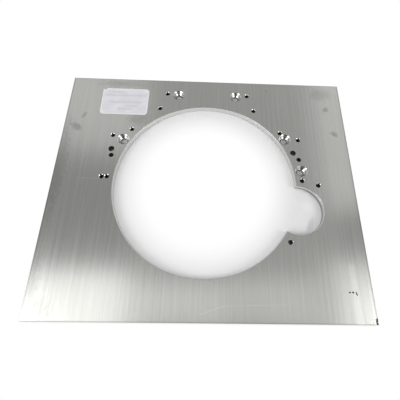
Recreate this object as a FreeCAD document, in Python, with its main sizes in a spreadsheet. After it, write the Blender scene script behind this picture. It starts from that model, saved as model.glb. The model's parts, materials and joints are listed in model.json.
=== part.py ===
import FreeCAD, Part
import os
import Sketcher

# Bellhousing adapter plate: a flat aluminium plate that joins an engine block to a gearbox of
# another make. Everything is set out from the crankshaft's axis, which is the origin. The
# underside lies on Z = 0, +X is to the right and +Y is towards the far edge.

# Driving dimensions in millimetres and degrees. They become the cells of the sheet.
SIZES = {
    # The bore clears the flywheel. A land is what is left of the plate beyond the bore.
    "bore_diameter": 303.0,
    "side_land": 98.5,
    "end_land": 58.5,
    "plate_thickness": 9.5,
    "edge_break": 0.5,
    # Countersunk holes for M10 flat-head screws, with a 90 degree seat.
    "screw_hole_diameter": 11.0,
    "screw_seat_width": 4.75,
    "screw_seat_angle": 90.0,
    # Holes tapped M8, drawn at the tapping drill's size.
    "tapped_hole_diameter": 6.8,
    "tapped_mouth_width": 0.8,
    "tapped_mouth_angle": 90.0,
    # Two sizes of reamed hole for dowel pins.
    "large_dowel_diameter": 10.0,
    "small_dowel_diameter": 8.0,
    # A hole's web is from the bore's wall to its centre. Its bearing is taken from the far side,
    # clockwise on the right half of the plate and mirrored on the left.
    "far_screw_web": 32.8,
    "far_screw_bearing": 16.7,
    "left_screw_web": 12.8,
    "left_screw_bearing": 60.9,
    "right_screw_web": 12.9,
    "right_screw_bearing": 57.6,
    "side_screw_web": 13.4,
    "side_screw_bearing": 80.65,
    "far_outer_tap_web": 42.4,
    "far_outer_tap_bearing": 22.35,
    "far_inner_tap_web": 18.0,
    "far_inner_tap_bearing": 30.2,
    "shoulder_inner_tap_web": 13.6,
    "shoulder_inner_tap_bearing": 52.5,
    "shoulder_outer_tap_web": 32.9,
    "shoulder_outer_tap_bearing": 61.7,
    "waist_tap_web": 10.9,
    "waist_tap_bearing": 86.8,
    "left_waist_tap_web": 19.5,
    "left_waist_tap_bearing": 87.1,
    "left_dowel_web": 20.9,
    "left_dowel_bearing": 69.45,
    "right_dowel_web": 11.4,
    "right_dowel_bearing": 68.0,
    "waist_dowel_web": 15.6,
    "waist_dowel_bearing": 73.2,
    # The round opening for the starter motor's nose runs out into the bore. Its reach is from the
    # bore's wall to its centre, and its web is from its own wall to the waist tapping beside it.
    "starter_radius": 41.3,
    "starter_reach": 6.2,
    "starter_web": 10.7,
    # The motor's two tappings. A flange is from the opening's wall to the tapping's centre.
    "starter_far_tap_web": 37.1,
    "starter_far_tap_flange": 15.5,
    "starter_near_tap_web": 12.6,
    "starter_near_tap_flange": 14.2,
    # The paper label and its place from the left and far edges.
    "label_width": 84.4,
    "label_depth": 56.5,
    "label_thickness": 0.15,
    "label_corner_radius": 6.0,
    "label_side_gap": 57.6,
    "label_far_gap": 22.4,
    "label_turn": -0.2,
    # The label's torn corner, measured from where its square corner would be.
    "tear_along_side": 1.8,
    "tear_along_end": 8.0,
    "tear_inset": 3.4,
    "tear_drop": 3.5,
}

# The families of like holes, with the halves of the plate that have each one.
RIGHT = (1,)
LEFT = (-1,)
BOTH = RIGHT + LEFT
SCREW_HOLES = {
    "far_screw": BOTH,
    "left_screw": LEFT,
    "right_screw": RIGHT,
    "side_screw": RIGHT,
}
TAPPED_HOLES = {
    "far_outer_tap": BOTH,
    "far_inner_tap": BOTH,
    "shoulder_inner_tap": BOTH,
    "shoulder_outer_tap": BOTH,
    "waist_tap": BOTH,
    "left_waist_tap": LEFT,
    "starter_far_tap": RIGHT,
    "starter_near_tap": RIGHT,
}
LARGE_DOWEL_HOLES = {
    "left_dowel": LEFT,
    "right_dowel": RIGHT,
}
SMALL_DOWEL_HOLES = {
    "waist_dowel": BOTH,
}

# What several formulas share.
BORE_RADIUS = "(Sizes.bore_diameter / 2)"
STARTER_CENTRE_RADIUS = f"({BORE_RADIUS} + Sizes.starter_reach)"
PLATE_WIDTH = "(Sizes.bore_diameter + 2 * Sizes.side_land)"
PLATE_DEPTH = "(Sizes.bore_diameter + 2 * Sizes.end_land)"

# A sketch's own origin, and the numbers of a curve's points in a constraint.
SKETCH_ORIGIN = (-1, 1)
START_POINT, END_POINT, CENTRE_POINT = range(1, 4)

FLATNESS = 1e-6


def make_sheet(document):
    """Write every driving dimension into the sheet, with its name as the cell's alias."""
    sheet = document.addObject("Spreadsheet::Sheet", "Sizes")
    for row, (name, value) in enumerate(SIZES.items(), start=1):
        sheet.set(f"A{row}", name)
        sheet.set(f"B{row}", str(value))
        sheet.setAlias(f"B{row}", name)
    document.recompute()


def make_sketch(body, name, height=None):
    """Attach a sketch to the body's own XY plane, raised by a formula where one is given."""
    sketch = body.newObject("Sketcher::SketchObject", name)
    plane = next(item for item in body.Origin.OriginFeatures if item.Role == "XY_Plane")
    sketch.AttachmentSupport = (plane, [""])
    sketch.MapMode = "FlatFace"
    if height is not None:
        sketch.setExpression("AttachmentOffset.Base.z", height)
    return sketch


def constrain(sketch, kind, elements, formula):
    """Add a dimension to the sketch and bind it to its formula."""
    value = float(sketch.evalExpression(formula))
    index = sketch.addConstraint(Sketcher.Constraint(kind, *elements, value))
    sketch.setExpression(f"Constraints[{index}]", formula)


def place_point(sketch, curve, point, across, along):
    """Hold a curve's point at two formulas, for its X and Y from the sketch's origin."""
    constrain(sketch, "DistanceX", (*SKETCH_ORIGIN, curve, point), across)
    constrain(sketch, "DistanceY", (*SKETCH_ORIGIN, curve, point), along)


def add_circle(sketch, across, along, diameter):
    """Draw a circle whose centre and diameter are formulas."""
    centre = FreeCAD.Vector(sketch.evalExpression(across), sketch.evalExpression(along), 0)
    radius = sketch.evalExpression(diameter) / 2
    circle = sketch.addGeometry(Part.Circle(centre, FreeCAD.Vector(0, 0, 1), radius), False)
    place_point(sketch, circle, CENTRE_POINT, across, along)
    constrain(sketch, "Diameter", (circle,), diameter)


def add_polygon(sketch, corners):
    """Draw a closed outline of straight lines through corners that are pairs of formulas."""
    points = []
    for across, along in corners:
        points.append(FreeCAD.Vector(sketch.evalExpression(across), sketch.evalExpression(along), 0))
    lines = []
    for start, end in zip(points, points[1:] + points[:1]):
        lines.append(sketch.addGeometry(Part.LineSegment(start, end), False))
    for line, following in zip(lines, lines[1:] + lines[:1]):
        sketch.addConstraint(Sketcher.Constraint("Coincident", line, END_POINT, following, START_POINT))
    for line, (across, along) in zip(lines, corners):
        place_point(sketch, line, START_POINT, across, along)


def polar(radius, bearing, side=1):
    """Formulas for the X and Y of a point at a radius and a bearing from the far side."""
    return f"{side} * {radius} * sin({bearing})", f"{radius} * cos({bearing})"


def web_radius(place):
    """Formula for a hole's distance from the bore's axis."""
    return f"({BORE_RADIUS} + Sizes.{place}_web)"


def angle_apart(one_radius, other_radius, spacing):
    """Formula for the angle at the bore's axis between two points that lie a spacing apart."""
    squares = f"{one_radius}^2 + {other_radius}^2 - ({spacing})^2"
    return f"acos(({squares}) / (2 * {one_radius} * {other_radius}))"


def starter_bearing():
    """Formula for the bearing of the starter's opening, which clears the waist tapping beside it."""
    spacing = "Sizes.starter_radius + Sizes.starter_web"
    turn = angle_apart(web_radius("waist_tap"), STARTER_CENTRE_RADIUS, spacing)
    return f"Sizes.waist_tap_bearing * 1 deg + {turn}"


def hole_bearing(place):
    """Formula for a hole's bearing. The starter motor's tappings lie either side of its opening."""
    sides_of_opening = {"starter_far_tap": "-", "starter_near_tap": "+"}
    if place not in sides_of_opening:
        return f"Sizes.{place}_bearing"
    spacing = f"Sizes.starter_radius + Sizes.{place}_flange"
    turn = angle_apart(web_radius(place), STARTER_CENTRE_RADIUS, spacing)
    return f"{starter_bearing()} {sides_of_opening[place]} {turn}"


def add_pad(body, sketch, name, thickness):
    """Raise a sketch upwards into a solid."""
    pad = body.newObject("PartDesign::Pad", name)
    pad.Profile = sketch
    pad.setExpression("Length", thickness)
    return pad


def add_through_cut(body, sketch, name):
    """Cut a sketch that lies on the underside right through the plate."""
    pocket = body.newObject("PartDesign::Pocket", name)
    pocket.Profile = sketch
    pocket.Type = "ThroughAll"
    pocket.Reversed = True
    return pocket


def edges_lying_flat(feature):
    """Names of a feature's edges that lie level, which leaves out the upright ones."""
    names = []
    for number, edge in enumerate(feature.Shape.Edges, start=1):
        if edge.BoundBox.ZLength < FLATNESS:
            names.append(f"Edge{number}")
    return names


def drill(document, body, name, places, diameter, mouth_width=None, mouth_angle=None):
    """Drill a family of like holes from the top face, with a cone at the mouth if one is given."""
    sketch = make_sketch(body, name + "_centres", height="Sizes.plate_thickness")
    for place, sides in places.items():
        for side in sides:
            across, along = polar(web_radius(place), hole_bearing(place), side)
            add_circle(sketch, across, along, diameter)
    document.recompute()
    hole = body.newObject("PartDesign::Hole", name)
    hole.Profile = sketch
    document.recompute()
    hole.ThreadType = "None"
    hole.DepthType = "ThroughAll"
    hole.setExpression("Diameter", diameter)
    if mouth_width is None:
        hole.HoleCutType = "None"
    else:
        hole.HoleCutType = "Countersink"
        hole.HoleCutCustomValues = True
        hole.setExpression("HoleCutDiameter", f"{diameter} + 2 * {mouth_width}")
        hole.setExpression("HoleCutCountersinkAngle", mouth_angle)
    document.recompute()


def make_adapter_plate(document):
    """The plate: sawn to size, bored, opened for the starter motor, edges broken, then drilled."""
    body = document.addObject("PartDesign::Body", "adapter_plate")
    body.Label = "adapter_plate"

    outline = make_sketch(body, "plate_outline")
    half_width = f"{PLATE_WIDTH} / 2"
    half_depth = f"{PLATE_DEPTH} / 2"
    add_polygon(outline, (
        (f"-{half_width}", f"-{half_depth}"),
        (half_width, f"-{half_depth}"),
        (half_width, half_depth),
        (f"-{half_width}", half_depth),
    ))
    add_pad(body, outline, "stock", "Sizes.plate_thickness")

    # The bore's circle starts on the left, so that its seam stays clear of the starter's opening.
    bore_outline = make_sketch(body, "bore_outline")
    half_turn = FreeCAD.Rotation(FreeCAD.Vector(0, 0, 1), 180)
    bore_outline.AttachmentOffset = FreeCAD.Placement(FreeCAD.Vector(0, 0, 0), half_turn)
    add_circle(bore_outline, "0", "0", "Sizes.bore_diameter")
    add_through_cut(body, bore_outline, "bore")

    starter_outline = make_sketch(body, "starter_outline")
    across, along = polar(STARTER_CENTRE_RADIUS, starter_bearing())
    add_circle(starter_outline, across, along, "2 * Sizes.starter_radius")
    starter = add_through_cut(body, starter_outline, "starter_opening")
    document.recompute()

    edges = body.newObject("PartDesign::Chamfer", "broken_edges")
    edges.Base = (starter, edges_lying_flat(starter))
    edges.setExpression("Size", "Sizes.edge_break")
    document.recompute()

    drill(document, body, "screw_holes", SCREW_HOLES, "Sizes.screw_hole_diameter",
          "Sizes.screw_seat_width", "Sizes.screw_seat_angle")
    drill(document, body, "tapped_holes", TAPPED_HOLES, "Sizes.tapped_hole_diameter",
          "Sizes.tapped_mouth_width", "Sizes.tapped_mouth_angle")
    drill(document, body, "large_dowel_holes", LARGE_DOWEL_HOLES, "Sizes.large_dowel_diameter")
    drill(document, body, "small_dowel_holes", SMALL_DOWEL_HOLES, "Sizes.small_dowel_diameter")
    return body


def make_label(document):
    """The paper label: a rectangle with three round corners and one torn one, stuck on the top."""
    body = document.addObject("PartDesign::Body", "label")
    body.Label = "label"

    outline = make_sketch(body, "label_outline")
    half_width = "Sizes.label_width / 2"
    half_depth = "Sizes.label_depth / 2"
    add_polygon(outline, (
        (f"-{half_width}", f"-{half_depth}"),
        (half_width, f"-{half_depth}"),
        (half_width, half_depth),
        (f"-{half_width} + Sizes.tear_along_end", half_depth),
        (f"-{half_width} + Sizes.tear_inset", f"{half_depth} - Sizes.tear_drop"),
        (f"-{half_width}", f"{half_depth} - Sizes.tear_along_side"),
    ))
    paper = add_pad(body, outline, "paper", "Sizes.label_thickness")
    document.recompute()

    corners = body.newObject("PartDesign::Fillet", "round_corners")
    corners.Base = (paper, square_corners(paper))
    corners.setExpression("Radius", "Sizes.label_corner_radius")

    body.setExpression("Placement.Base.x", f"{half_width} + Sizes.label_side_gap - {PLATE_WIDTH} / 2")
    body.setExpression("Placement.Base.y", f"{PLATE_DEPTH} / 2 - Sizes.label_far_gap - {half_depth}")
    body.setExpression("Placement.Base.z", "Sizes.plate_thickness")
    body.setExpression("Placement.Rotation.Angle", "Sizes.label_turn")
    document.recompute()
    return body


def square_corners(feature):
    """Names of the upright edges at the corners of a feature's box, which the tear has left whole."""
    box = feature.Shape.BoundBox
    names = []
    for number, edge in enumerate(feature.Shape.Edges, start=1):
        place = edge.BoundBox
        at_side = min(place.XMin - box.XMin, box.XMax - place.XMax) < FLATNESS
        at_end = min(place.YMin - box.YMin, box.YMax - place.YMax) < FLATNESS
        upright = place.XLength < FLATNESS and place.YLength < FLATNESS
        if at_side and at_end and upright:
            names.append(f"Edge{number}")
    return names


def check_document(document, bodies):
    """Stop if an object has failed, a cut has removed nothing or a body isn't one valid solid."""
    for item in document.Objects:
        if "Invalid" in item.State or "Error" in item.State:
            raise RuntimeError(f"{item.Name} has failed: {item.State}")
    for body in bodies:
        shape = body.Shape
        if shape.isNull() or not shape.isValid() or len(shape.Solids) != 1:
            raise RuntimeError(f"{body.Label} isn't one valid solid")
        for feature in body.Group:
            cuts = feature.TypeId in ("PartDesign::Pocket", "PartDesign::Hole", "PartDesign::Chamfer")
            if cuts and feature.Shape.Volume >= feature.BaseFeature.Shape.Volume:
                raise RuntimeError(f"{feature.Name} cuts nothing")


def export_bodies(bodies):
    """Write each body to a file named after its label."""
    os.makedirs("parts", exist_ok=True)
    for body in bodies:
        body.Shape.exportStep(f"parts/{body.Label}.step")
        print(body.Label, round(body.Shape.Volume, 3), body.Shape.BoundBox)


def main():
    document = FreeCAD.newDocument("AdapterPlate")
    make_sheet(document)
    bodies = [make_adapter_plate(document), make_label(document)]
    document.recompute()
    check_document(document, bodies)
    export_bodies(bodies)


main()
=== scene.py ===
# A bellhousing adapter plate lying on a white table: a flat aluminium plate with a large bore, an opening
# for the starter motor and 22 holes, and a paper label near one corner. Metres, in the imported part's frame.
import json
import math

import bmesh
import bpy
from mathutils import Matrix, Quaternion, Vector


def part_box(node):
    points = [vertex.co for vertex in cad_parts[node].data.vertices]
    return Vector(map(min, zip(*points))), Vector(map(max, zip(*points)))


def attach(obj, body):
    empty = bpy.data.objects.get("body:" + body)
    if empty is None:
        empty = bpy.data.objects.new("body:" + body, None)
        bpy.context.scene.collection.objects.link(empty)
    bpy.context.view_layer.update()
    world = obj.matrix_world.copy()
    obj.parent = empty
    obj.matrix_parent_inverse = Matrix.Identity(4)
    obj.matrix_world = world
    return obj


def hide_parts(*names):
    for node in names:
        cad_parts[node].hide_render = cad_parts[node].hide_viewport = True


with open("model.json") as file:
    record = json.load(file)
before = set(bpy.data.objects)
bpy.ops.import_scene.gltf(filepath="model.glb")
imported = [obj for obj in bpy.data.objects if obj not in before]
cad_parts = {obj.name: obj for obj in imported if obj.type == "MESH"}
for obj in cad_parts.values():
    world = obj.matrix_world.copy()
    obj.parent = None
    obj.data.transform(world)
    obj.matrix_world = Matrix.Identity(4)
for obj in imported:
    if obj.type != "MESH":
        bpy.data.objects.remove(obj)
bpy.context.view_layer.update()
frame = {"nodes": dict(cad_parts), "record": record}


# The thread taps, which cut the plate's thirteen tapped holes: M8 coarse thread, one pitch of ISO profile
# turned into a closed helix. The holes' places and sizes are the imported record's.
tapping_radius = 0.0034
thread_pitch = 0.00125
thread_inner = 0.00332
thread_outer = 0.00400
thread_steps = 28
lead_in_pitches = 2.5
spare_turns = 2
tap_overrun = 0.0005
same_place = 1e-6
on_the_cut = 1e-7
plate_low, plate_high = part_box("adapter_plate")


def hole_centres(radius):
    """Where the record puts the holes of one radius."""
    places = []
    for mount in frame["record"]["mounts"]:
        dims = mount["dims"]
        if abs(dims.get("r_mm", dims.get("hole_r_mm", 0)) / 1000 - radius) > same_place:
            continue
        half = dims.get("spacing_x_mm", 0) / 2000
        x, y, z = mount["pos_m"]
        places += [(x - half, y), (x + half, y)] if half else [(x, y)]
    return places


def to_mesh(name, build):
    """A mesh of what was built in a bmesh, which is freed."""
    mesh = bpy.data.meshes.new(name)
    build.to_mesh(mesh)
    build.free()
    return mesh


def show(name, data):
    """An object for a mesh, a lamp or a camera, at the origin."""
    item = bpy.data.objects.new(name, data)
    bpy.context.scene.collection.objects.link(item)
    return item


def tap_mesh():
    """One tap on the origin's axis, cut off square a little beyond both faces of the plate."""
    tap = bmesh.new()
    profile = [(thread_inner, 0.0), (thread_inner, 0.25), (thread_outer, 0.5625), (thread_outer, 0.6875),
               (thread_inner, 1.0)]
    foot = plate_low.z - lead_in_pitches * thread_pitch
    points = [tap.verts.new((radius, 0, foot + share * thread_pitch)) for radius, share in profile]
    edges = [tap.edges.new(pair) for pair in zip(points, points[1:])]
    turns = math.ceil((plate_high.z - foot) / thread_pitch) + spare_turns
    bmesh.ops.spin(tap, geom=points + edges, cent=(0, 0, 0), axis=(0, 0, 1),
                   dvec=(0, 0, thread_pitch / thread_steps), angle=turns * math.tau,
                   steps=turns * thread_steps, use_merge=False)
    bmesh.ops.remove_doubles(tap, verts=tap.verts, dist=same_place)
    for height, side in ((plate_low.z - tap_overrun, -1), (plate_high.z + tap_overrun, 1)):
        cut = bmesh.ops.bisect_plane(tap, geom=tap.verts[:] + tap.edges[:] + tap.faces[:], dist=on_the_cut,
                                     plane_co=(0, 0, height), plane_no=(0, 0, side), clear_outer=True)
        rim = [item for item in cut["geom_cut"] if isinstance(item, bmesh.types.BMEdge)]
        bmesh.ops.edgeloop_fill(tap, edges=rim)
    bmesh.ops.recalc_face_normals(tap, faces=tap.faces)
    return to_mesh("tap", tap)


one_tap = tap_mesh()
cutter = bmesh.new()
for x, y in hole_centres(tapping_radius):
    known = len(cutter.verts)
    cutter.from_mesh(one_tap)
    cutter.verts.ensure_lookup_table()
    bmesh.ops.translate(cutter, verts=cutter.verts[known:], vec=(x, y, 0))

# The nicks in the plate: three short ones near the near right corner, where something hard was dropped on
# it, and the bruised corner itself. Each is a shallow cone, stretched and turned, and given by its centre,
# its half width and half length in the plate's face, its turn in degrees and its depth.
nicks = ((0.2149, -0.1667, 0.0013, 0.0013, 90, 0.0006),
         (0.2198, -0.1667, 0.0013, 0.0016, 90, 0.0007),
         (0.2249, -0.1686, 0.0009, 0.0030, 20, 0.0006),
         (0.2492, -0.2066, 0.0028, 0.0060, 4, 0.0012))
nick_sides = 14
nick_foot = 0.1
nick_rim = 1.9
for x, y, width, length, turn, depth in nicks:
    stretch = Matrix.Diagonal((width, length, depth, 1))
    place = Matrix.Translation((x, y, plate_high.z)) @ Matrix.Rotation(math.radians(turn), 4, "Z") @ stretch
    bmesh.ops.create_cone(cutter, cap_ends=True, segments=nick_sides, radius1=nick_foot, radius2=nick_rim,
                          depth=2.0, matrix=place)
taps = show("taps", to_mesh("taps", cutter))


# The plate is one piece of rolled aluminium, sawn to size, bored, drilled and reamed, with its sharp edges
# broken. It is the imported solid, merged, with the threads and nicks cut into it.
sharp_angle = math.radians(28)
level_normal = 0.999
blank = bmesh.new()
blank.from_mesh(frame["nodes"]["adapter_plate"].data)
bmesh.ops.remove_doubles(blank, verts=blank.verts, dist=same_place)
drilled = show("drilled", to_mesh("blank", blank))
threading = drilled.modifiers.new("threads", "BOOLEAN")
threading.operation = "DIFFERENCE"
threading.solver = "EXACT"
threading.object = taps
bpy.context.view_layer.update()
plate_mesh = bpy.data.meshes.new_from_object(drilled.evaluated_get(bpy.context.evaluated_depsgraph_get()))
plate_mesh.attributes.remove(plate_mesh.attributes["custom_normal"])
plate = show("plate", plate_mesh)
bpy.data.objects.remove(drilled)
bpy.data.objects.remove(taps)
plate_mesh.polygons.foreach_set("use_smooth", [True] * len(plate_mesh.polygons))
plate_mesh.set_sharp_from_angle(angle=sharp_angle)
for face in plate_mesh.polygons:
    face.use_smooth = abs(face.normal.z) < level_normal
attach(plate, "root")
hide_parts("adapter_plate")


def connect(tree, value, socket):
    """Feed a socket with another socket, or give it a value."""
    if isinstance(value, bpy.types.NodeSocket):
        tree.links.new(value, socket)
    else:
        socket.default_value = value


def add_node(tree, kind, inputs=(), **settings):
    """A shader node with its settings, and with its inputs given by name or number."""
    node = tree.nodes.new("ShaderNode" + kind)
    for name, value in settings.items():
        setattr(node, name, value)
    for key, value in dict(inputs).items():
        connect(tree, value, node.inputs[key])
    return node


def new_group(name, inputs, outputs):
    """A node group. Its inputs are (name, kind, value) and its outputs are names of values."""
    group = bpy.data.node_groups.new(name, "ShaderNodeTree")
    for label, kind, value in inputs:
        socket = group.interface.new_socket(label, in_out="INPUT", socket_type="NodeSocket" + kind)
        socket.default_value = value
    for label in outputs:
        group.interface.new_socket(label, in_out="OUTPUT", socket_type="NodeSocketFloat")
    return group, group.nodes.new("NodeGroupInput").outputs, group.nodes.new("NodeGroupOutput").inputs


def new_material(name, **constants):
    """A Principled material. Its constant inputs are named with underscores for spaces."""
    material = bpy.data.materials.new(name)
    material.use_nodes = True
    shader = material.node_tree.nodes["Principled BSDF"]
    for socket, value in constants.items():
        shader.inputs[socket.replace("_", " ")].default_value = value
    return material, material.node_tree, shader.inputs


def grey(level, warm=0.0):
    """A grey, with its blue taken down by a share to warm it."""
    return (level, level, level * (1 - warm), 1)


def mix_colours(tree, factor, first, second):
    """The colour that lies between two colours."""
    return add_node(tree, "Mix", {0: factor, 6: first, 7: second}, data_type="RGBA").outputs[2]


def reckon(tree, operation, first, second=0.0, third=0.0, clamp=False):
    """The result of a Math node."""
    return add_node(tree, "Math", {0: first, 1: second, 2: third}, operation=operation,
                    use_clamp=clamp).outputs[0]


def reckon_vector(tree, operation, first, second=(0, 0, 0)):
    """The result of a Vector Math node, a value where the operation gives one."""
    node = add_node(tree, "VectorMath", {0: first, 1: second}, operation=operation)
    return node.outputs["Value" if operation in ("LENGTH", "DISTANCE", "DOT_PRODUCT") else 0]


def step(tree, value, start, end, low=0.0, high=1.0):
    """A smooth step from low to high while the value goes from start to end."""
    return add_node(tree, "MapRange", {"Value": value, "From Min": start, "From Max": end, "To Min": low,
                                       "To Max": high}, interpolation_type="SMOOTHSTEP").outputs["Result"]


# Grain: the lines that rolls, a saw or a cutter left in the metal, which lie along the axis with the larger
# spacing, and the slow clouds in its finish.
grain, given, put = new_group("grain", [("Vector", "Vector", (0, 0, 0)), ("Spacing", "Vector", (1, 1, 1)),
                                        ("Clouding", "Float", 1.0)], ["Lines", "Fine", "Clouds"])
scaled = reckon_vector(grain, "DIVIDE", given["Vector"], given["Spacing"])
lines = add_node(grain, "TexNoise", {"Vector": scaled, "Scale": 1.0, "Detail": 2.0, "Roughness": 0.6})
fine = add_node(grain, "TexNoise", {"Vector": scaled, "Scale": 3.7, "Detail": 2.0, "Roughness": 0.7})
clouds = add_node(grain, "TexNoise", {"Vector": given["Vector"], "Scale": given["Clouding"], "Detail": 3.0})
for name, noise in (("Lines", lines), ("Fine", fine), ("Clouds", clouds)):
    grain.links.new(noise.outputs["Fac"], put[name])

# A smudge: an oval patch with a ragged edge, for dirt and for darker places.
raggedness = 1.2
smudge_fade = (1.1, 0.2)
smudge, given, put = new_group("smudge", [("Vector", "Vector", (0, 0, 0)), ("Centre", "Vector", (0, 0, 0)),
                                          ("Size", "Vector", (1, 1, 1)), ("Turn", "Float", 0.0)],
                               ["Mask"])
offset = reckon_vector(smudge, "SUBTRACT", given["Vector"], given["Centre"])
turned = add_node(smudge, "VectorRotate", {"Vector": offset, "Angle": given["Turn"]},
                  rotation_type="Z_AXIS").outputs[0]
reach = reckon_vector(smudge, "LENGTH", reckon_vector(smudge, "DIVIDE", turned, given["Size"]))
ragged = add_node(smudge, "TexNoise", {"Vector": given["Vector"], "Scale": 180.0,
                                       "Detail": 3.0}).outputs["Fac"]
edge = reckon(smudge, "MULTIPLY_ADD", ragged, raggedness, reckon(smudge, "SUBTRACT", reach, raggedness / 2))
smudge.links.new(step(smudge, edge, *smudge_fade), put["Mask"])

# A scratch or a painted highlight streak: a straight line between two points, strongest along its middle.
scratch, given, put = new_group("scratch", [("Vector", "Vector", (0, 0, 0)), ("Start", "Vector", (0, 0, 0)),
                                            ("End", "Vector", (1, 1, 1)), ("Width", "Float", 0.0005)],
                                 ["Mask"])
offset = reckon_vector(scratch, "SUBTRACT", given["Vector"], given["Start"])
along = reckon_vector(scratch, "SUBTRACT", given["End"], given["Start"])
share = reckon(scratch, "DIVIDE", reckon_vector(scratch, "DOT_PRODUCT", offset, along),
               reckon_vector(scratch, "DOT_PRODUCT", along, along), clamp=True)
nearest = add_node(scratch, "VectorMath", {0: along, "Scale": share}, operation="SCALE").outputs[0]
distance = reckon_vector(scratch, "DISTANCE", offset, nearest)
scratch.links.new(step(scratch, distance, given["Width"], 0.0), put["Mask"])


def joined(tree, group, vector, marks):
    """The masks of many marks of one group, joined into one."""
    masks = [add_node(tree, "Group", {"Vector": vector, **inputs}, node_tree=group).outputs["Mask"]
             for inputs in marks]
    whole = masks[0]
    for mask in masks[1:]:
        whole = reckon(tree, "MAXIMUM", whole, mask)
    return whole


# The mill finish of the two faces: fine lines along the plate's depth and faint clouds, as the rolls left
# them. It is smudged from handling, darker in a few places and in a narrow margin along its outline, and
# scratched, with painted highlight streaks beside the near right corner.
top = plate_high.z
mark_height = 0.004
mill_warmth = 0.035
mill_roughness = 0.217
streak_roughness = 0.012
dirt_roughness = 0.10
# The width and the fade of the darker margin along the outline.
dark_margin = (0.0022, 0.0008)
side_margin_scale = 0.6
highlight_streak_x = 0.2236
smudges = [{"Centre": (x, y, top), "Size": (width, depth, mark_height), "Turn": turn}
           for x, y, width, depth, turn in (
               (-0.2276, 0.1034, 0.0150, 0.0080, 0.6),
               (-0.2186, 0.1268, 0.0090, 0.0040, -1.1),
               (0.2195, 0.1540, 0.0090, 0.0060, -1.0),
               (0.1112, 0.1919, 0.0040, 0.0040, 0.0),
               (0.2293, 0.1025, 0.0090, 0.0060, 0.5))]
darker_places = [{"Centre": (x, y, top), "Size": (width, depth, mark_height)}
               for x, y, width, depth in (
                   (-0.1620, 0.1990, 0.0500, 0.0100),
                   (-0.2420, 0.0250, 0.0140, 0.1200),
                   (-0.2450, -0.1650, 0.0130, 0.0600),
                   (-0.2400, -0.1980, 0.0400, 0.0260),
                   (-0.1240, 0.1220, 0.0220, 0.0160),
                   (0.2140, 0.1880, 0.0280, 0.0180))]
# Painted highlight streaks beside the near right corner.
highlight_streaks = [{"Start": (highlight_streak_x, start, top), "End": (highlight_streak_x, end, top), "Width": width}
                  for start, end, width in ((-0.1300, -0.2060, 0.0080), (-0.1750, -0.2120, 0.0100))]
scratches = [{"Start": (*start, top), "End": (*end, top), "Width": width}
             for start, end, width in (
                 ((-0.2098, 0.0043), (-0.1728, 0.0053), 0.0006),
                 ((-0.0039, -0.1992), (0.0311, -0.1871), 0.0003),
                 ((0.0311, -0.1871), (0.1270, -0.1847), 0.0002))]
mill, tree, shader = new_material("mill_finish", Metallic=1.0)
place = add_node(tree, "TexCoord").outputs["Object"]
rolled = add_node(tree, "Group", {"Vector": place, "Spacing": (0.0022, 0.25, 0.0022), "Clouding": 14.0},
                  node_tree=grain).outputs
streaks = step(tree, rolled["Lines"], 0.30, 0.70)
dirt = joined(tree, smudge, place, smudges)
from_middle = reckon_vector(tree, "ABSOLUTE", place)
margin = reckon_vector(tree, "SUBTRACT", (plate_high.x, plate_high.y, 1.0), from_middle)
split = add_node(tree, "SeparateXYZ", {0: margin}).outputs
side_margin = reckon(tree, "MULTIPLY", split["X"], side_margin_scale)
nearest_side = reckon(tree, "MINIMUM", side_margin, split["Y"])
metal = mix_colours(tree, streaks, grey(0.69, mill_warmth), grey(0.76, mill_warmth))

# Each mask lays its share of a colour over the metal.
for mask, share, colour in (
        (step(tree, rolled["Fine"], 0.35, 0.75), 0.50, grey(0.63, mill_warmth)),
        (step(tree, rolled["Clouds"], 0.35, 0.75), 0.40, grey(0.68, 0.08)),
        (step(tree, nearest_side, *dark_margin), 0.75, grey(0.46, mill_warmth)),
        (dirt, 0.50, grey(0.40, mill_warmth)),
        (joined(tree, smudge, place, darker_places), 0.45, grey(0.46, mill_warmth)),
        # Painted highlight: bright streaks beside the near right corner.
        (joined(tree, scratch, place, highlight_streaks), 0.40, grey(0.92, mill_warmth)),
        (joined(tree, scratch, place, scratches), 0.80, grey(0.98, 0.02))):
    metal = mix_colours(tree, reckon(tree, "MULTIPLY", mask, share), metal, colour)
connect(tree, metal, shader["Base Color"])
rough = reckon(tree, "MULTIPLY_ADD", streaks, streak_roughness, mill_roughness)
connect(tree, reckon(tree, "MULTIPLY_ADD", dirt, dirt_roughness, rough), shader["Roughness"])
relief = add_node(tree, "Bump", {"Strength": 1.0, "Distance": 0.000004, "Height": rolled["Lines"]})
connect(tree, relief.outputs["Normal"], shader["Normal"])

# The turned seats of the screws, bright from the countersink, whose lines run round.
seat, tree, shader = new_material("turned_seat", Metallic=1.0, Roughness=0.20, Anisotropic=0.65)
turned = add_node(tree, "UVMap", uv_map="turned").outputs["UV"]
cut = add_node(tree, "Group", {"Vector": turned, "Spacing": (0.00035, 1.5, 1.0)}, node_tree=grain).outputs
connect(tree, mix_colours(tree, cut["Lines"], grey(0.76, 0.02), grey(0.94, 0.02)), shader["Base Color"])
tangent = add_node(tree, "Tangent", direction_type="UV_MAP", uv_map="turned").outputs[0]
connect(tree, tangent, shader["Tangent"])


# The level of the painted shade at the foot of a wall.
foot_shade_level = 0.30


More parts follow.
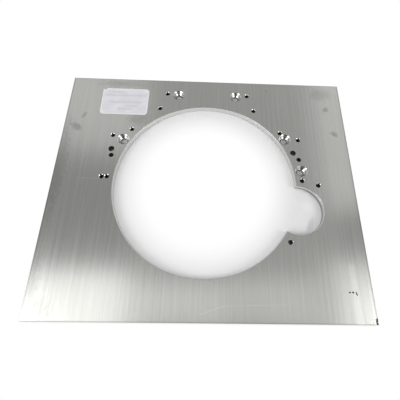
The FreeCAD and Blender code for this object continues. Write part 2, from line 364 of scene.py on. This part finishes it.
def tooled_metal(name, spacing, dark, pale, warm, roughness, rise, clouding=0.0, relief=0.0, painted_dark=None):
    """Bare metal whose level goes from dark to pale with the lines that a tool left, or with its clouds
    where it has some. Its roughness rises with the fine lines, a relief lifts the lines, and the last
    argument is a function that gives the mask of a place painted dark, as painted shade."""
    material, tree, shader = new_material(name, Metallic=1.0)
    place = add_node(tree, "TexCoord").outputs["Object"]
    cut = add_node(tree, "Group", {"Vector": place, "Spacing": spacing, "Clouding": clouding},
                   node_tree=grain).outputs
    shade = mix_colours(tree, cut["Clouds" if clouding else "Lines"], grey(dark, warm), grey(pale, warm))
    if painted_dark:
        # Painted shade: the masked place is painted dark.
        shade = mix_colours(tree, painted_dark(tree, place), shade, grey(foot_shade_level, warm))
    connect(tree, shade, shader["Base Color"])
    connect(tree, reckon(tree, "MULTIPLY_ADD", cut["Fine"], rise, roughness), shader["Roughness"])
    if relief:
        lifted = add_node(tree, "Bump", {"Strength": 1.0, "Distance": relief, "Height": cut["Lines"]})
        connect(tree, lifted.outputs["Normal"], shader["Normal"])
    return material


# The milled wall of the bore and of the starter's opening, with the cutter's lines running round it. The
# wall of the starter's opening is painted dark at its foot, as painted shade where it meets the table.
starter_centre = (0.15202, -0.04194, 0.0)
starter_radius = 0.0413
foot_shade_heights = (0.0050, 0.0020)
foot_shade_radii = (starter_radius + 0.0012, starter_radius + 0.0002)


def starter_foot_shade(tree, place):
    """The mask of the painted shade at the foot of the wall of the starter's opening."""
    height = add_node(tree, "SeparateXYZ", {0: place}).outputs["Z"]
    flat_place = reckon_vector(tree, "MULTIPLY", place, (1, 1, 0))
    from_starter = reckon_vector(tree, "DISTANCE", flat_place, starter_centre)
    low_down = step(tree, height, *foot_shade_heights)
    return reckon(tree, "MULTIPLY", low_down, step(tree, from_starter, *foot_shade_radii))


milled = tooled_metal("milled_wall", (0.5, 0.5, 0.0012), 0.74, 0.82, 0.01, roughness=0.28, rise=0.05,
                      painted_dark=starter_foot_shade)

# The mouths of the tapped holes, opened with a small countersink.
mouth = tooled_metal("tapped_mouth", (0.01, 0.01, 0.0001), 0.62, 0.84, 0.02, roughness=0.14, rise=0.12,
                     clouding=400.0)

# The broken edges of the bore, scraped with a deburring tool.
scraped = tooled_metal("scraped_edge", (0.03, 0.03, 0.0005), 0.45, 0.55, 0.01, roughness=0.42, rise=0.06,
                       clouding=20.0)

# The sawn sides of the plate, with the blade's lines standing upright, and their filed edges.
sawn = tooled_metal("sawn_side", (0.0008, 0.0008, 0.02), 0.26, 0.42, 0.03, roughness=0.32, rise=0.2,
                    relief=0.00003)

# The drilled walls under the seats of the screws and the reamed walls of the dowels' holes, both painted
# dark as painted shade in the holes, the dowels' walls darker still.
drilled_wall = tooled_metal("drilled_wall", (0.02, 0.02, 0.0005), 0.34, 0.50, 0.02, roughness=0.25,
                            rise=0.2)
reamed_shaded = tooled_metal("reamed_wall", (0.02, 0.02, 0.0004), 0.14, 0.26, 0.05, roughness=0.25, rise=0.2)

# The threads and the nicks, painted near black with a fine speckle, as painted shade in their hollows.
shaded_hollow, tree, shader = new_material("oiled_thread", Metallic=1.0)
place = add_node(tree, "TexCoord").outputs["Object"]
hollow_speckle = add_node(tree, "TexNoise", {"Vector": place, "Scale": 900.0, "Detail": 3.0}).outputs["Fac"]
connect(tree, mix_colours(tree, hollow_speckle, grey(0.02), grey(0.07)), shader["Base Color"])
connect(tree, step(tree, hollow_speckle, 0.2, 0.8, low=0.3, high=0.6), shader["Roughness"])

# Each face takes the finish of the tool that made it. A seat or mouth is a cone of 90 degrees: on it, the
# distance from the hole's axis less the height is constant. A hole's faces are those within its reach.
screw_radius = 0.0055
seat_radius = 0.01025
seat_reach = 0.0108
mouth_radius = 0.0042
mouth_reach = 0.0045
dowel_radii = (0.005, 0.004)
dowel_spare = 0.0004
slant_error = 0.00006
side_reach = 0.001
scraped_normal = 0.5
nick_normal = 0.1
holes = [(x, y, seat_reach, seat_radius - top, seat, drilled_wall) for x, y in hole_centres(screw_radius)]
holes += [(x, y, mouth_reach, mouth_radius - top, mouth, shaded_hollow) for x, y in hole_centres(tapping_radius)]
holes += [(x, y, radius + dowel_spare, radius - top, reamed_shaded, reamed_shaded)
          for radius in dowel_radii for x, y in hole_centres(radius)]
finishes = [mill, seat, milled, mouth, scraped, sawn, shaded_hollow, drilled_wall, reamed_shaded]
plate_mesh.materials.clear()
for finish in finishes:
    plate_mesh.materials.append(finish)
turned_map = plate_mesh.uv_layers.new(name="turned")


def finish_of(polygon):
    """The finish of a face that isn't level, and the axis of the hole that it's in."""
    centre = polygon.center
    for x, y, reach, slant, cone, wall in holes:
        radius = math.hypot(centre.x - x, centre.y - y)
        if radius < reach:
            return (cone if abs(radius - centre.z - slant) < slant_error else wall), (x, y)
    # A nick's sloping faces take the threads' near-black finish, as painted shade.
    for x, y, width, length, turn, depth in nicks:
        if math.hypot(centre.x - x, centre.y - y) < length and abs(polygon.normal.z) > nick_normal:
            return shaded_hollow, None
    if min(plate_high.x - abs(centre.x), plate_high.y - abs(centre.y)) < side_reach:
        return sawn, None
    return (scraped if abs(polygon.normal.z) > scraped_normal else milled), None


def lay_round(polygon, axis):
    """Map a face of a cone by its distance from the axis and its angle round it."""
    centre = polygon.center
    facing = math.atan2(centre.y - axis[1], centre.x - axis[0])
    for loop in polygon.loop_indices:
        corner = plate_mesh.vertices[plate_mesh.loops[loop].vertex_index].co
        angle = math.atan2(corner.y - axis[1], corner.x - axis[0])
        angle += math.tau * round((facing - angle) / math.tau)
        turned_map.data[loop].uv = (math.hypot(corner.x - axis[0], corner.y - axis[1]), angle)


for polygon in plate_mesh.polygons:
    if abs(polygon.normal.z) > level_normal:
        continue
    finish, axis = finish_of(polygon)
    polygon.material_index = finishes.index(finish)
    if finish is seat:
        lay_round(polygon, axis)


# The label is white paper, stuck on the top face, with five faint grey bars. Round its edge and at two
# corners it is painted paler, a painted highlight where it doesn't lie quite flat and the corners stand
# up a little.
label_low, label_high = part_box("label")
bars = [{"Centre": (x, y, label_high.z), "Half": (width / 2, depth / 2, 1.0)}
        for x, y, width, depth in (
            (-0.1614, 0.1796, 0.025, 0.0036),
            (-0.1490, 0.1726, 0.076, 0.0040),
            (-0.1484, 0.1575, 0.058, 0.0040),
            (-0.1378, 0.1489, 0.022, 0.0036),
            (-0.1482, 0.1426, 0.029, 0.0050))]
bar_blur = 0.0006
bar_share = 0.40
faintest_ink = 0.25
highlight_margin = (0.0040, 0.0005)
highlight_distance = (0.006, 0.002)
highlighted_corners = ((label_high.x - 0.005, label_high.y - 0.004, label_high.z),
                    (label_low.x + 0.003, label_low.y + 0.003, label_high.z))
dark_paper = (0.83, 0.82, 0.88, 1)
light_paper = (0.90, 0.89, 0.94, 1)
highlight_paper = (0.96, 0.96, 0.95, 1)
bar, given, put = new_group("printed_bar", [("Vector", "Vector", (0, 0, 0)),
                                            ("Centre", "Vector", (0, 0, 0)),
                                            ("Half", "Vector", (1, 1, 1))], ["Mask"])
offset = reckon_vector(bar, "ABSOLUTE", reckon_vector(bar, "SUBTRACT", given["Vector"], given["Centre"]))
beyond = add_node(bar, "SeparateXYZ", {0: reckon_vector(bar, "SUBTRACT", offset, given["Half"])}).outputs
outside_bar = reckon(bar, "MAXIMUM", beyond["X"], beyond["Y"])
bar.links.new(step(bar, outside_bar, bar_blur, -bar_blur), put["Mask"])

paper, tree, shader = new_material("paper", Roughness=0.55)
place = add_node(tree, "TexCoord").outputs["Object"]
fibres = add_node(tree, "TexNoise", {"Vector": place, "Scale": 1500.0, "Detail": 4.0}).outputs["Fac"]
waves = add_node(tree, "TexNoise", {"Vector": place, "Scale": 70.0, "Detail": 2.0}).outputs["Fac"]
speckle = add_node(tree, "TexNoise", {"Vector": place, "Scale": 420.0, "Detail": 1.0}).outputs["Fac"]
speckled = step(tree, speckle, 0.35, 0.65, low=faintest_ink)
ink = reckon(tree, "MULTIPLY", joined(tree, bar, place, bars), speckled)
sheet = mix_colours(tree, step(tree, waves, 0.3, 0.7), dark_paper, light_paper)
sheet = mix_colours(tree, reckon(tree, "MULTIPLY", ink, bar_share), sheet, grey(0.50))
middle = (label_low + label_high) / 2
half = (label_high - label_low) / 2
from_middle = reckon_vector(tree, "ABSOLUTE", reckon_vector(tree, "SUBTRACT", place, tuple(middle)))
margin = reckon_vector(tree, "SUBTRACT", (half.x, half.y, 1.0), from_middle)
split = add_node(tree, "SeparateXYZ", {0: margin}).outputs
# Painted highlight: paler round the label's edge and near two corners.
pale = step(tree, reckon(tree, "MINIMUM", split["X"], split["Y"]), *highlight_margin)
for corner in highlighted_corners:
    near_corner = step(tree, reckon_vector(tree, "DISTANCE", place, corner), *highlight_distance)
    pale = reckon(tree, "MAXIMUM", pale, near_corner)
connect(tree, mix_colours(tree, pale, sheet, highlight_paper), shader["Base Color"])
relief = add_node(tree, "Bump", {"Strength": 0.5, "Distance": 0.00002, "Height": fibres})
connect(tree, relief.outputs["Normal"], shader["Normal"])
frame["nodes"]["label"].material_slots[0].material = paper


# The table is smooth and white, and shows pure white away from the plate. Under the plate it is painted
# dark grey, a painted shadow where little light gets, and a painted light patch and a painted dim one lie
# where the wall of the starter's opening throws light on it.
table_reach = 6.0
bore_radius = 0.1515
shadow_blur = 0.0005
fade_in_bore = (-0.010, 0.056)
fade_outside = (0.0, 0.004)
painted_patch_fade = (1.2, 0.2)
painted_patch_share = 0.8
# The colour of the painted shadow under the plate.
painted_shade_under_plate = grey(0.20)
ground = bmesh.new()
bmesh.ops.create_grid(ground, x_segments=1, y_segments=1, size=table_reach)
table = show("table", to_mesh("table", ground))
white, tree, shader = new_material("white_table", Roughness=0.15)
place = add_node(tree, "TexCoord").outputs["Object"]


def inside_circle(centre, radius):
    """How far a place of the table is inside a circle."""
    return reckon(tree, "SUBTRACT", radius, reckon_vector(tree, "DISTANCE", place, centre))


in_bore = inside_circle((0.0, 0.0, 0.0), bore_radius)
from_middle = reckon_vector(tree, "ABSOLUTE", place)
past = reckon_vector(tree, "SUBTRACT", from_middle, (plate_high.x, plate_high.y, 0.0))
outside = reckon_vector(tree, "LENGTH", reckon_vector(tree, "MAXIMUM", past))
clear = reckon(tree, "MAXIMUM", in_bore, outside)
clear = reckon(tree, "MAXIMUM", clear, inside_circle(starter_centre, starter_radius))
for x, y in hole_centres(screw_radius):
    clear = reckon(tree, "MAXIMUM", clear, inside_circle((x, y, 0.0), screw_radius))
under = step(tree, clear, shadow_blur, -shadow_blur)
surface = add_node(tree, "TexNoise", {"Vector": place, "Scale": 60.0, "Detail": 4.0}).outputs["Fac"]
lit = mix_colours(tree, surface, grey(0.93), grey(0.97))

# The painted dim patch and the painted light one, from the wall of the starter's opening.
for centre, size, turn, colour in (
        ((0.1720, -0.0640, 0.0), (0.0060, 0.0170, 1.0), 0.40, (0.74, 0.74, 0.80, 1)),
        ((0.1712, -0.0335, 0.0), (0.0120, 0.0110, 1.0), 0.0, (1.0, 1.0, 1.0, 1))):
    offset = reckon_vector(tree, "SUBTRACT", place, centre)
    turned = add_node(tree, "VectorRotate", {"Vector": offset, "Angle": turn},
                      rotation_type="Z_AXIS").outputs[0]
    spread = reckon_vector(tree, "LENGTH", reckon_vector(tree, "DIVIDE", turned, size))
    lit = mix_colours(tree, step(tree, spread, *painted_patch_fade, high=painted_patch_share), lit, colour)
# Painted shadow: under the plate the table is painted dark grey.
connect(tree, mix_colours(tree, under, lit, painted_shade_under_plate), shader["Base Color"])
fade = reckon(tree, "MAXIMUM", step(tree, in_bore, *fade_in_bore), step(tree, outside, *fade_outside))
rays = add_node(tree, "LightPath").outputs
seen = reckon(tree, "MAXIMUM", rays["Is Camera Ray"], rays["Is Glossy Ray"])
seen = reckon(tree, "MAXIMUM", seen, rays["Is Transmission Ray"])
glow = add_node(tree, "Emission", {"Color": (1, 1, 1, 1), "Strength": 1.0}).outputs[0]
surfaced = tree.nodes["Principled BSDF"].outputs[0]
blend = add_node(tree, "MixShader", {0: reckon(tree, "MULTIPLY", fade, seen), 1: surfaced, 2: glow})
connect(tree, blend.outputs[0], tree.nodes["Material Output"].inputs["Surface"])
table.data.materials.append(white)


# The studio is a grey room, brighter low down than above, and shows white to the camera. Nine soft lamps
# hang level over the front, the sides and the back, and two stronger ones stand low at the sides and face
# the plate. A lamp's level is its brightness, whatever its size.
room_heights = (0.42, 0.66)
room_levels = (0.70, 0.295)
world = bpy.data.worlds.new("studio")
world.use_nodes = True
tree = world.node_tree
height = add_node(tree, "SeparateXYZ", {0: add_node(tree, "TexCoord").outputs["Generated"]}).outputs["Z"]
room = step(tree, height, *room_heights, *room_levels)
connect(tree, reckon(tree, "MAXIMUM", room, add_node(tree, "LightPath").outputs["Is Camera Ray"]),
        tree.nodes["Background"].inputs["Strength"])
tree.nodes["Background"].inputs["Color"].default_value = (1, 1, 1, 1)
bpy.context.scene.world = world

hanging = 1.40
for name, place, width, depth, level in (
        ("far_left_lamp", (-1.615, -0.40, hanging), 0.83, 0.60, 0.90),
        ("left_front_lamp", (-0.88, -0.815, hanging), 0.64, 1.42, 1.04),
        ("middle_front_lamp", (-0.18, -0.345, hanging), 0.74, 0.35, 0.54),
        ("right_front_lamp", (0.53, -0.325, hanging), 0.64, 0.35, 0.44),
        ("right_strip_lamp", (1.06, -0.48, hanging), 0.17, 0.94, 0.80),
        ("far_right_lamp", (1.405, -0.235, hanging), 0.75, 0.43, 0.53),
        ("left_back_lamp", (-1.035, 1.39, hanging), 0.89, 0.98, 0.33),
        ("right_back_lamp", (1.175, 1.18, hanging), 0.29, 1.56, 0.51),
        ("middle_lamp", (0.22, 0.94, hanging), 1.62, 2.18, 0.09),
        ("left_low_lamp", (-1.48, -0.75, 1.06), 0.85, 0.8, 4.9),
        ("right_low_lamp", (1.48, -0.62, 1.04), 0.8, 0.7, 4.65)):
    lamp = bpy.data.lights.new(name, "AREA")
    lamp.shape = "RECTANGLE"
    lamp.size = width
    lamp.size_y = depth
    lamp.energy = level * math.pi * width * depth
    stand = show(name, lamp)
    stand.location = place
    if "low" in name:
        stand.rotation_mode = "QUATERNION"
        stand.rotation_quaternion = (-Vector(place)).to_track_quat("-Z", "Y")

# A dark cloth hangs before the plate. It shows only in reflections, for the turned seats' dark sides.
cloth_low = Vector((-0.42, -0.55, 0.20))
cloth_high = Vector((0.40, -0.55, 1.30))
cloth = bmesh.new()
for x, z in ((cloth_low.x, cloth_low.z), (cloth_low.x, cloth_high.z), (cloth_high.x, cloth_high.z),
             (cloth_high.x, cloth_low.z)):
    cloth.verts.new((x, cloth_low.y, z))
cloth.faces.new(cloth.verts)
panel = show("dark_cloth", to_mesh("dark_cloth", cloth))
panel.data.materials.append(new_material("dark_cloth", Roughness=0.9, Base_Color=grey(0.03))[0])
for kind in ("camera", "diffuse", "transmission", "volume_scatter", "shadow"):
    setattr(panel, "visible_" + kind, False)


# The camera stands over the plate's near side and looks steeply down, a little turned, with a wide lens.
image_side = 400
look_azimuth = math.radians(-4.443)
look_elevation = math.radians(73.671)
look_roll = math.radians(5.484)
look_distance = 0.35639
look_point = Vector((0.01147, -0.05102, plate_high.z))
focal_pixels = 225.0
optical_centre = (211.68, 213.43)
away = Vector((math.sin(look_azimuth) * math.cos(look_elevation),
               -math.cos(look_azimuth) * math.cos(look_elevation),
               math.sin(look_elevation)))
lens = bpy.data.cameras.new("camera")
lens.sensor_width = 36.0
lens.lens = lens.sensor_width * focal_pixels / image_side
lens.shift_x = 0.5 - optical_centre[0] / image_side
lens.shift_y = optical_centre[1] / image_side - 0.5
lens.clip_start = 0.01
lens.clip_end = 50.0
camera = show("camera", lens)
camera.rotation_mode = "QUATERNION"
camera.location = look_point + away * look_distance
camera.rotation_quaternion = (-away).to_track_quat("-Z", "Y") @ Quaternion((0, 0, 1), look_roll)
bpy.context.scene.camera = camera
bpy.context.scene.view_settings.view_transform = "Standard"
